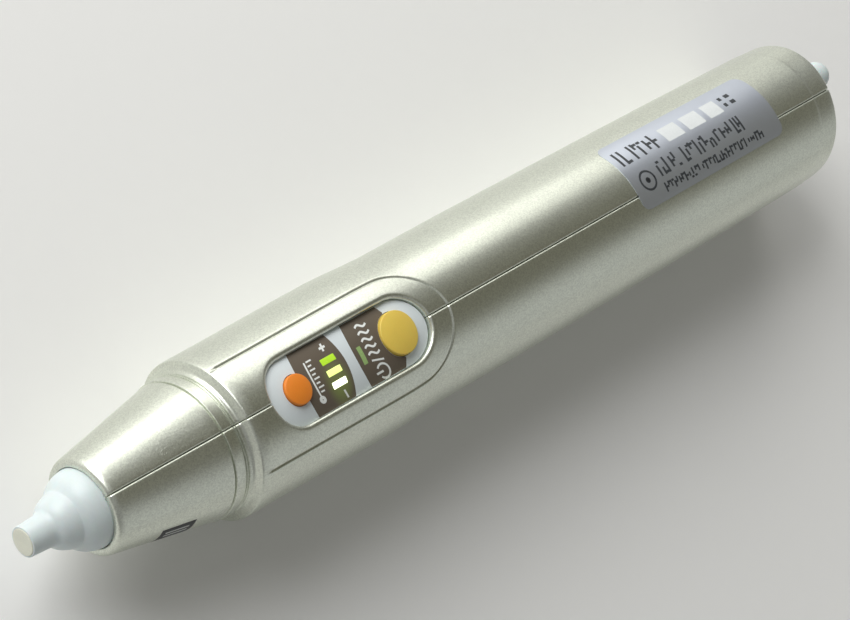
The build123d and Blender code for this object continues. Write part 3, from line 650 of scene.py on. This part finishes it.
def painted_bar_glow(material, centre, code, strength, near, reach):
    """Paints the lit bars' light onto the ink as emission, a painted pool of light: emission falls by a smooth
    step from strength to nothing between two distances, in millimetres, from a place on the label, and reaches
    half as far again across the pen."""
    tree = material.node_tree
    shader = tree.nodes["Principled BSDF"]
    place = add(tree, "ShaderNodeTexCoord").outputs["Object"]
    away = add(tree, "ShaderNodeVectorMath", {0: place, 1: (centre[0] * MM, centre[1] * MM, 0)},
               operation="SUBTRACT")
    scaled = add(tree, "ShaderNodeVectorMath", {0: away.outputs[0], 1: (1, 0.67, 0)}, operation="MULTIPLY")
    distance = add(tree, "ShaderNodeVectorMath", {0: scaled.outputs[0]}, operation="LENGTH")
    fall = add(tree, "ShaderNodeMapRange", {"Value": distance.outputs["Value"], "From Min": near * MM,
                                            "From Max": reach * MM, "To Min": strength, "To Max": 0.0},
               interpolation_type="SMOOTHSTEP")
    shader.inputs["Emission Color"].default_value = linear(code)
    tree.links.new(fall.outputs[0], shader.inputs["Emission Strength"])


# ---- operators: one for each piece or group of like pieces ------------------------------------------
class WAND_OT_shells(bpy.types.Operator):
    """Builds the two painted body shells"""
    bl_idname = "wand.make_shells"
    bl_label = "Body shells"

    def execute(self, context):
        for side in (1, -1):
            shell(side, context.scene.wand_shell)
        return {"FINISHED"}


class WAND_OT_tip(bpy.types.Operator):
    """Builds the white cone and the ceramic tip plate"""
    bl_idname = "wand.make_tip"
    bl_label = "Heated tip"

    def execute(self, context):
        seat_r = PLATE_R + 0.03
        cone = rounded([
            (1.2, seat_r, 0), (CONE_FRONT, seat_r, 0.05), (CONE_FRONT, 2.70, 0.16), (4.7, 2.98, 0.9),
            (5.75, 4.1, 0.75), (7.5, 4.86, 0.7), (8.55, 5.12, 0.16), (9.75, 6.26, 1.2), (11.4, 6.98, 1.0),
            (12.7, 7.16, 0.3), (16.9, 7.16, 0.1), (17.1, 7.86, 0.1), (18.5, 7.86, 0.1), (18.5, 5.5, 0.1),
            (14.1, 5.5, 0.1), (14.1, 3.05, 0.1), (9.5, 1.97, 0.3), (1.2, 1.97, 0.05),
            (1.2, seat_r, 0)], steps=8)
        piece("tip_cone_skin", *turned(cone, 128), "white_plastic", 60, replaces=["tip_cone"])
        plate = rounded([(0, 0, 0), (0, PLATE_R, 0.12), (1.0, PLATE_R, 0.05), (1.0, 1.9, 0.05),
                         (2.4, 1.9, 0.1), (2.4, 0, 0)])
        ring = np.linspace(0, PLATE_R - 0.4, 6)[:-1]
        plate = np.concatenate([np.stack([0 * ring, ring], -1), plate[1:]])
        piece("tip_plate_skin", *turned(plate, 96), "ceramic_face", 50, replaces=["tip_plate"])
        return {"FINISHED"}


def domed_button(node, centre_x, low, high, node_slot, crown):
    """Push button turned about Z: a low dome whose fall grows with a power of the radius, a soft edge,
    a straight side and a flange under the bed."""
    r = (high[1] - low[1]) / 2 - FLANGE
    top, bottom = high[2], low[2]
    flange_top = bottom + 0.6
    dome_r = np.linspace(0, r - 0.35, 14)
    dome = np.stack([top - crown * (dome_r / (r - 0.05)) ** 2.2, dome_r], -1)
    flange_r = r + 0.68
    edge = rounded([(*dome[-1], 0), (top - crown, r, 0.3), (flange_top, r, 0.05), (flange_top, flange_r, 0.08),
                    (bottom, flange_r, 0.08), (bottom, 0, 0)], steps=7)
    points, quads = turned(np.concatenate([dome[:-1], edge]), 80)
    points = np.stack([centre_x + points[:, 1], points[:, 2], points[:, 0]], -1)
    piece(node + "_cap", points, quads, node_slot, 45, body=node, replaces=[node])


class WAND_OT_buttons(bpy.types.Operator):
    """Builds the orange and the yellow push button"""
    bl_idname = "wand.make_buttons"
    bl_label = "Push buttons"

    def execute(self, context):
        domed_button("temp_button", TEMP_X, TEMP_LOW, TEMP_HIGH, "orange_rubber", 0.38)
        domed_button("heat_button", HEAT_X, HEAT_LOW, HEAT_HIGH, "yellow_rubber", 0.5)
        return {"FINISHED"}


PRINT_Z = 12.8             # height at which the print is set out
PRINT_BOW = 0.849          # forward bow of the print for each millimetre that the label rises
TEMP_R, HEAT_R, FLANGE = 2.75, 4.05, 0.7   # the buttons, and the flange that keeps each in
INK_CLEAR = 0.16           # bare ring round each button
FIELD_LIFT, SIGN_LIFT = 0.018, 0.034       # tops of the two coats of ink above the sheet
THICK, MEDIUM, THIN = 0.4, 0.34, 0.3       # widths of the signs' lines


def on_label(x, y, lift, bow=0.0):
    """Point on the curved label, lifted off it by that much; print bows forward over the label's crown."""
    r = LABEL_R + lift
    z = np.sqrt(r ** 2 - np.asarray(y) ** 2)
    return np.stack(np.broadcast_arrays(x - bow * (z - PRINT_Z), y, z), -1)


def set_out(x, y):
    """Where a place on the flat print lands on the curved label."""
    return x - PRINT_BOW * (np.sqrt(LABEL_R ** 2 - y ** 2) - PRINT_Z)


def print_field(name, front, rear, half_width, material):
    """Printed field on the label between two edges, each given as x for a place across it."""
    y = np.linspace(-half_width, half_width, 61)
    t = np.linspace(0, 1, 9)
    x = front(y)[:, None] * (1 - t) + rear(y)[:, None] * t
    across = np.broadcast_to(y[:, None], x.shape)
    solid = slab(on_label(x, across, FIELD_LIFT), on_label(x, across, 0.002))
    piece(name, *solid, "panel_print", 30, material=material)


def ribbon(path, width, lift=SIGN_LIFT, closed=False):
    """Printed line on the label: a thin band of that width carried along a path in plan."""
    path = np.asarray(path, float)
    ahead = np.roll(path, -1, 0) - np.roll(path, 1, 0) if closed else np.gradient(path, axis=0)
    ahead /= np.linalg.norm(ahead, axis=1)[:, None]
    side = np.stack([-ahead[:, 1], ahead[:, 0]], -1) * width / 2
    rails = [(path - side, lift), (path + side, lift), (path + side, 0.004), (path - side, 0.004)]
    section = np.stack([on_label(rail[:, 0], rail[:, 1], high, PRINT_BOW) for rail, high in rails], 1)
    count = len(path)
    quads = grid_quads(count, 4, wrap_rows=closed, wrap_columns=True)
    if not closed:
        ends = np.array([[3, 2, 1, 0], [0, 1, 2, 3]]) + [[0], [4 * count - 4]]
        quads = np.concatenate([quads, ends])
    return section.reshape(-1, 3), quads


def joined(parts):
    """Several meshes as one."""
    points, quads, count = [], [], 0
    for p, q in parts:
        points.append(p)
        quads.append(np.asarray(q) + count)
        count += len(p)
    return np.concatenate(points), np.concatenate(quads)


def straight(x0, y0, x1, y1, steps=9):
    """Evenly spaced places on a straight line in plan."""
    t = np.linspace(0, 1, steps)[:, None]
    return np.array([[x0, y0]]) * (1 - t) + np.array([[x1, y1]]) * t


class WAND_OT_print(bpy.types.Operator):
    """Prints the brown fields and the plain signs on the panel's label"""
    bl_idname = "wand.make_print"
    bl_label = "Panel print"

    def execute(self, context):
        half = WELL_HALF - WELL_MARGIN - 0.06
        bars_low, bars_high = box_mm("level_bar_middle")
        lamp_low = box_mm("heat_lamp_guide")[0]
        bars_x = (bars_low[0] + bars_high[0]) / 2
        brown = ink("brown_screen_ink", context.scene.wand_colours.ink, 0.55)
        # painted glow: emission on the brown ink near the level bars stands in for the bars' light falling on
        # it
        painted_bar_glow(brown, (bars_x, bars_low[1] - 1.2), "#7FA616", 0.2, 0.9, 3.5)
        temp_front, temp_rear, temp_bow = bars_low[0] - 4.8, bars_low[0] + 6.0, 0.05
        heat_front, heat_rear, heat_bow = lamp_low[0] + 0.1, lamp_low[0] + 11.2, 0.067

        def button_edge(y, centre, r, sign):
            """Edge of the bare ring round a button, and far out of the way where the ring doesn't reach."""
            inside = np.clip(r ** 2 - y ** 2, 0, None)
            return np.where(np.abs(y) < r, centre + sign * np.sqrt(inside), -sign * 1e3)

        print_field("temp_field", lambda y: np.maximum(set_out(temp_front, y),
                                                       button_edge(y, TEMP_X, TEMP_R + INK_CLEAR, 1)),
                    lambda y: set_out(temp_rear - temp_bow * y ** 2, y), half, brown)
        print_field("heat_field", lambda y: set_out(heat_front, y),
                    lambda y: np.minimum(set_out(heat_rear - heat_bow * y ** 2, y),
                                         button_edge(y, HEAT_X, HEAT_R + INK_CLEAR, -1)), half, brown)

        # thermometer with a scale beside it, where the temperature legend goes
        stem_x, bulb_y, bulb_r = temp_front + 2.55, -3.6, 0.55
        turn = np.linspace(0, 2 * np.pi, 28, endpoint=False)
        bulb = np.stack([stem_x + bulb_r * np.cos(turn), bulb_y + bulb_r * np.sin(turn)], -1)
        signs = [ribbon(bulb, THIN, closed=True),
                 ribbon(bulb * 0.45 + 0.55 * np.array([stem_x, bulb_y]), THIN, closed=True),
                 ribbon(straight(stem_x, -3.1, stem_x, 3.4), MEDIUM)]
        for k, y in enumerate(np.linspace(-2.3, 3.3, 8)):
            reach = 1.25 if k % 2 else 0.85
            signs.append(ribbon(straight(stem_x + 0.45, y, stem_x + 0.45 + reach, y), THIN))
        # minus and plus at the two ends of the level bars
        x, bold, plus_y, arm = bars_x + 1.1, 0.42, 4.2, 0.7
        signs += [ribbon(straight(x, -5.4, x, -3.9), bold),
                  ribbon(straight(x, plus_y - arm, x, plus_y + arm), bold),
                  ribbon(straight(x - arm, plus_y, x + arm, plus_y), bold, SIGN_LIFT + 0.006)]
        # power sign, stroke and heat waves
        x, power_y, power_r, gap = lamp_low[0] + 4.2, -4.45, 1.3, np.radians(38)
        turn = np.linspace(np.pi + gap, 3 * np.pi - gap, 34)
        signs += [ribbon(np.stack([x + power_r * np.cos(turn), power_y + power_r * np.sin(turn)], -1), THICK),
                  ribbon(straight(x - 1.75, power_y, x - 0.1, power_y), THICK),
                  ribbon(straight(x - 1.3, -1.95, x + 1.3, -2.65), MEDIUM)]
        t = np.linspace(0, 1, 26)
        for y in (-0.9, 0.4, 1.7, 3.0, 4.3):
            wave = np.stack([x - 1.3 + 2.6 * t, y + 0.32 * np.sin(2 * np.pi * t)], -1)
            signs.append(ribbon(wave, THICK))
        white = ink("white_screen_ink", linear("#E9ECE8"))
        piece("panel_signs", *joined(signs), "panel_print", 30, material=white)
        return {"FINISHED"}


class WAND_OT_lamps(bpy.types.Operator):
    """Builds the lit level bars and the heat lamp"""
    bl_idname = "wand.make_lamps"
    bl_label = "Level bars and lamp"

    def execute(self, context):
        lamps = context.scene.wand_lamps
        looks = {"level_bar_low": ("lit_bar_white_hot", "#F6FFE0", "#EFFFC8", lamps.low),
                 "level_bar_middle": ("lit_bar_pale_lime", "#EEFBA8", "#E4FF7C", lamps.middle),
                 "level_bar_high": ("lit_bar_green", "#B4DC3C", "#A8E62C", lamps.high),
                 "heat_lamp_guide": ("lamp_dim_green", "#8DA56E", "#8FC060", lamps.heat)}
        for node, (name, code, glow, strength) in looks.items():
            low, high = box_mm(node)
            u = np.linspace(-1, 1, 25)
            a, b = np.meshgrid(u, u, indexing="ij")
            # square pulled to a rounded bar: both sides shrink a little near the corners
            x = (low[0] + high[0]) / 2 + (high[0] - low[0]) / 2 * a * np.sqrt(1 - 0.035 * b ** 8)
            y = (low[1] + high[1]) / 2 + (high[1] - low[1]) / 2 * b * np.sqrt(1 - 0.035 * a ** 8)
            swell = 0.03 * (1 - a ** 6) * (1 - b ** 6)
            top = on_label(x, y, 0.03 + swell)
            foot = np.stack([x, y, np.full_like(x, low[2])], -1)
            piece(node + "_lens", *slab(top, foot), "clear_guide", 40,
                  material=lamp(name, code, glow, strength), replaces=[node])
        return {"FINISHED"}


FILM = 0.08                # thickness of the sticker
STICKER_TURN = np.radians(18)      # middle of the sticker, from the panel's middle


def on_barrel(x, angle, lift):
    """Point on the barrel's plain surface, lifted off it by that much."""
    r = barrel_radius(x) + lift
    return np.stack([x, r * np.sin(angle), r * np.cos(angle)], -1)


def wrapped(x, angle):
    """Thin printed patch on the sticker, from a grid of places and angles."""
    return slab(on_barrel(x, angle, FILM + 0.015), on_barrel(x, angle, FILM + 0.002))


class WAND_OT_sticker(bpy.types.Operator):
    """Builds the silvery sticker near the tail, with plain bars for its print"""
    bl_idname = "wand.make_sticker"
    bl_label = "Sticker"

    def execute(self, context):
        x0, x1 = STICKER_LOW[0], STICKER_HIGH[0]
        middle_x, half_x = (x0 + x1) / 2, (x1 - x0) / 2
        half_v, corner = 8.0, 2.0
        v = half_v * np.sin(np.linspace(-np.pi / 2, np.pi / 2, 45))
        past = np.clip(np.abs(v) - (half_v - corner), 0, corner)
        reach = half_x - corner + np.sqrt(corner ** 2 - past ** 2)
        x = middle_x + reach[:, None] * np.linspace(-1, 1, 40)
        angle = np.broadcast_to((STICKER_TURN + v / BARREL_R)[:, None], x.shape)
        piece("sticker_film", *slab(on_barrel(x, angle, FILM), on_barrel(x, angle, 0.0)), "sticker_film", 40,
              replaces=["rating_sticker"])
        dark_marks, pale_marks = [], []

        def bar(marks, x_from, x_to, v_from, v_to):
            """Adds a plain bar, from places behind the sticker's front and beside its middle line."""
            gx, gv = np.meshgrid(np.linspace(x_from, x_to, 3), np.linspace(v_from, v_to, 5), indexing="ij")
            marks.append(wrapped(x0 + gx, STICKER_TURN + gv / BARREL_R))

        rng = np.random.default_rng(7)

        def strokes(start, end, low, high, thick):
            """A run of upright and level strokes of mixed height, as busy as small print but not letters."""
            place = start
            while place < end:
                height = (high - low) * float(rng.choice([0.45, 0.7, 1.0]))
                foot = low + (high - low - height) * float(rng.choice([0.0, 0.5, 1.0]))
                bar(dark_marks, place, place + thick, foot, foot + height)
                if rng.random() < 0.7:
                    level = low + (high - low) * float(rng.choice([0.1, 0.5, 0.85]))
                    bar(dark_marks, place + thick, place + 2.6 * thick, level - thick / 2, level + thick / 2)
                place += thick * float(rng.choice([1.9, 2.4, 3.0]))

        for start in (1.6, 6.0, 10.4):
            strokes(start, start + 2.6, 1.6, 5.4, 0.62)
        for start, end in ((15.9, 21.1), (22.7, 27.9), (29.5, 33.8)):
            bar(pale_marks, start, end, 1.7, 5.3)
        for v in (2.4, 4.2):
            bar(dark_marks, 35.2, 36.1, v, v + 0.9)
            bar(dark_marks, 37.2, 38.6, v, v + 0.9)
        for start in np.arange(8.2, 36.0, 4.1):
            strokes(start, start + 2.8, -3.6, -0.2, 0.52)
        strokes(7.6, 39.0, -6.7, -4.8, 0.42)
        turn = np.linspace(0, 2 * np.pi, 33)
        ring_x, ring_v = 4.4, -2.9
        for inner, outer in ((1.7, 2.15), (0.0, 0.6)):
            r, a = np.meshgrid(np.array([inner, outer]), turn, indexing="ij")
            dark_marks.append(wrapped(x0 + ring_x + r * np.cos(a),
                                      STICKER_TURN + (ring_v + r * np.sin(a)) / BARREL_R))
        dark, pale = ink("dark_label_ink", linear("#34383C")), ink("pale_label_ink", linear("#D8DCDC"))
        piece("sticker_print", *joined(dark_marks), "sticker_film", 30, material=dark)
        piece("sticker_boxes", *joined(pale_marks), "sticker_film", 30, material=pale)
        return {"FINISHED"}


class WAND_OT_nose_print(bpy.types.Operator):
    """Prints the plain dark mark under the nose"""
    bl_idname = "wand.make_nose_print"
    bl_label = "Nose mark"

    def execute(self, context):
        def mark(x_from, x_to, low, high, lift):
            """A patch on the nose's cone between two distances from the tip and two angles, lifted off it."""
            places, turns = np.linspace(x_from, x_to, 9), np.radians(np.linspace(low, high, 13))
            x, turn = np.meshgrid(places, turns, indexing="ij")
            r = NOSE_R0 + (x - NOSE_X0) * (NOSE_R1 - NOSE_R0) / (NOSE_X1 - NOSE_X0)
            return slab(*[np.stack([x, up * np.sin(turn), up * np.cos(turn)], -1) for up in (r + lift, r)])

        dark, pale = ink("dark_pad_ink", linear("#26282A")), ink("pale_pad_ink", linear("#C9CCC8"))
        piece("nose_mark", *mark(21.6, 28.2, -96, -67, 0.03), "sticker_film", 30, material=dark)
        bars = [mark(22.6, 27.2, low, low + 2.5, 0.045) for low in (-75.5, -81.5)]
        piece("nose_mark_bars", *joined(bars), "sticker_film", 30, material=pale)
        return {"FINISHED"}


class WAND_OT_tail_cap(bpy.types.Operator):
    """Builds the white twist cap and its round thumb stud"""
    bl_idname = "wand.make_tail_cap"
    bl_label = "Tail cap"

    def execute(self, context):
        plug, face, plug_r, wall_r = CAP_LOW[0], 205.3, 11.6, 9.8
        r, groove_r, dish_r, dish = CAP_HIGH[2], 12.25, 8.5, 0.5
        rings = np.linspace(0, dish_r, 8)
        floor = np.stack([face - dish + 0 * rings, rings], -1)
        rim = rounded([
            (face - dish, dish_r, 0), (face - dish, 9.2, 0.3), (face - 0.05, 9.9, 0.3),
            (face - 0.05, r, 0.35), (face - 2.2, r, 0.1), (face - 2.25, groove_r, 0.05),
            (face - 3.35, groove_r, 0.05),
            (face - 3.4, r, 0.1), (face - 5.6, r, 0.25), (face - 5.6, plug_r, 0.1), (plug, plug_r, 0.2),
            (plug, wall_r, 0.2), (face - 2.2, wall_r, 0.2), (face - 2.2, 0, 0)], steps=6)
        piece("battery_cap_skin", *turned(np.concatenate([floor[:-1], rim]), 128), "white_plastic", 45,
              body="tail_cap", replaces=["battery_cap"])
        stud_r, foot_r = 2.9, 2.9 + 0.22
        turn = np.linspace(0, np.pi / 2, 16)
        ball = np.stack([CAP_HIGH[0] - stud_r + stud_r * np.cos(turn), stud_r * np.sin(turn)], -1)
        foot = rounded([(*ball[-1], 0), (face + 0.7, stud_r, 0.6), (face - 0.3, foot_r, 0.2),
                        (face - 1.2, foot_r, 0)])
        points, quads = turned(np.concatenate([ball[:-1], foot]), 72)
        stud_place = np.array([0, 3.5, 9.5])
        piece("battery_cap_stud", points + stud_place, quads, "white_plastic", 60, body="tail_cap")
        return {"FINISHED"}


class WAND_OT_inside(bpy.types.Operator):
    """Gives every carried-over CAD piece its finish"""
    bl_idname = "wand.finish_inside"
    bl_label = "Inner pieces"

    def execute(self, context):
        slots = {row["node"]: row["material_slot"] for row in frame["record"]["subparts"]}
        for name, node in frame["nodes"].items():
            material = finish(slots[name])
            node.data.materials.clear()
            node.data.materials.append(material)
        return {"FINISHED"}


# ---- stage --------------------------------------------------------------------------------------------
def soft_light(name, towards, distance, width, height, watts, code="#FFFFFF"):
    """Rectangular area light that looks at the pen's middle from a direction."""
    data = bpy.data.lights.new(name, "AREA")
    data.shape = "RECTANGLE"
    data.size, data.size_y = width, height
    data.energy = watts
    data.color = linear(code)[:3]
    made = bpy.data.objects.new(name, data)
    bpy.context.scene.collection.objects.link(made)
    direction = Vector(towards).normalized()
    target = Vector((0.1, 0, 0))
    made.location = target + direction * distance
    made.rotation_euler = (-direction).to_track_quat("-Z", "Y").to_euler()


def studio_room():
    """World whose brightness depends on direction alone: grey walls, a pale card low on the right-hand side
    and a dark warm patch beside the ceiling's middle, which the lacquer mirrors as its dark stripe. Each patch
    fades from its inner to its outer angle by a smooth step of the cosine."""
    world = bpy.data.worlds.new("studio_room")
    world.use_nodes = True
    tree = world.node_tree
    towards = add(tree, "ShaderNodeTexCoord").outputs["Generated"]
    below = (0.25, 0.25, 0.25, 1.0)
    card = ((0.55, -0.82, 0.12), 14, 48, (0.56, 0.57, 0.57, 1.0))
    dark_patch = ((0.50, -0.08, 0.86), 20, 42, (0.095, 0.088, 0.052, 1.0))
    for centre, inner, outer, shade in (card, dark_patch):
        lean = add(tree, "ShaderNodeVectorMath", {0: towards, 1: Vector(centre).normalized()},
                   operation="DOT_PRODUCT")
        share = add(tree, "ShaderNodeMapRange", {"Value": lean.outputs["Value"],
                                                 "From Min": np.cos(np.radians(outer)),
                                                 "From Max": np.cos(np.radians(inner))},
                    interpolation_type="SMOOTHSTEP")
        mixed = add(tree, "ShaderNodeMix", {0: share.outputs[0], 6: below, 7: shade}, data_type="RGBA")
        below = mixed.outputs[2]
    tree.links.new(below, tree.nodes["Background"].inputs["Color"])
    return world


# ---- camera: what it looks at, how far off it stands, and its angles in degrees ----------------------------
CAMERA_TARGET = Vector((0.096602, 0.000782, 0.0))
CAMERA_DISTANCE = 0.492524
CAMERA_AZIMUTH, CAMERA_ELEVATION, CAMERA_ROLL = np.radians([178.2704, 49.6550, 62.8399])
CAMERA_LENS, CAMERA_SENSOR = 114.95, 36.0


class WAND_OT_stage(bpy.types.Operator):
    """Sets the pale floor, the soft lights and the camera"""
    bl_idname = "wand.make_stage"
    bl_label = "Stage"

    def execute(self, context):
        half, level = 4.0, CAD_BOX[0][2] - 0.0001
        mesh = bpy.data.meshes.new("floor")
        mesh.from_pydata([(x * half, y * half, level) for x, y in ((-1, -1), (1, -1), (1, 1), (-1, 1))], [],
                         [(0, 1, 2, 3)])
        floor = bpy.data.objects.new("floor", mesh)
        context.scene.collection.objects.link(floor)
        mesh.materials.append(surface("matt_pale_paper", linear("#F4F4F2"), 0.9, grain=3.0, spread=0.004))
        context.scene.world = studio_room()
        soft_light("key_softbox", (0.28, 0.90, 0.38), 0.9, 1.05, 0.55, 3.5, "#FFFEFA")
        soft_light("floor_fill", (-0.42, 0.78, 0.58), 1.3, 0.9, 0.9, 14.0)
        data = bpy.data.cameras.new("camera")
        data.sensor_width, data.lens = CAMERA_SENSOR, CAMERA_LENS
        data.clip_end = 50
        camera = bpy.data.objects.new("camera", data)
        across, up = np.cos(CAMERA_ELEVATION), np.sin(CAMERA_ELEVATION)
        back = Vector((across * np.cos(CAMERA_AZIMUTH), across * np.sin(CAMERA_AZIMUTH), up))
        camera.matrix_world = (Matrix.Translation(CAMERA_TARGET + back * CAMERA_DISTANCE)
                               @ back.to_track_quat("Z", "Y").to_matrix().to_4x4()
                               @ Matrix.Rotation(CAMERA_ROLL, 4, "Z"))
        context.scene.collection.objects.link(camera)
        context.scene.camera = camera
        context.scene.view_settings.view_transform = "Standard"
        return {"FINISHED"}


class WAND_PT_panel(bpy.types.Panel):
    """Lists the wand's pieces"""
    bl_idname = "WAND_PT_panel"
    bl_label = "Heat wand"
    bl_space_type = "VIEW_3D"
    bl_region_type = "UI"
    bl_category = "Heat wand"

    def draw(self, context):
        for operator in OPERATORS:
            self.layout.operator(operator.bl_idname)
        for group in (context.scene.wand_shell, context.scene.wand_colours, context.scene.wand_lamps):
            for name in group.__annotations__:
                self.layout.prop(group, name)


OPERATORS = (WAND_OT_inside, WAND_OT_shells, WAND_OT_tip, WAND_OT_buttons, WAND_OT_print, WAND_OT_lamps,
             WAND_OT_sticker, WAND_OT_nose_print, WAND_OT_tail_cap, WAND_OT_stage)
GROUPS = {"wand_shell": WandShellSizes, "wand_colours": WandColours, "wand_lamps": WandLamps}


def register():
    """Registers the classes and hangs the property groups on the scene."""
    for kind in (*GROUPS.values(), *OPERATORS, WAND_PT_panel):
        bpy.utils.register_class(kind)
    for name, kind in GROUPS.items():
        setattr(bpy.types.Scene, name, bpy.props.PointerProperty(type=kind))


def unregister():
    """Undoes register, in reverse order."""
    for name in GROUPS:
        delattr(bpy.types.Scene, name)
    for kind in (WAND_PT_panel, *reversed(OPERATORS), *reversed(list(GROUPS.values()))):
        bpy.utils.unregister_class(kind)


def main():
    register()
    for operator in OPERATORS:
        group, name = operator.bl_idname.split(".")
        getattr(getattr(bpy.ops, group), name)()
    bpy.context.view_layer.update()


if __name__ == "__main__":
    main()
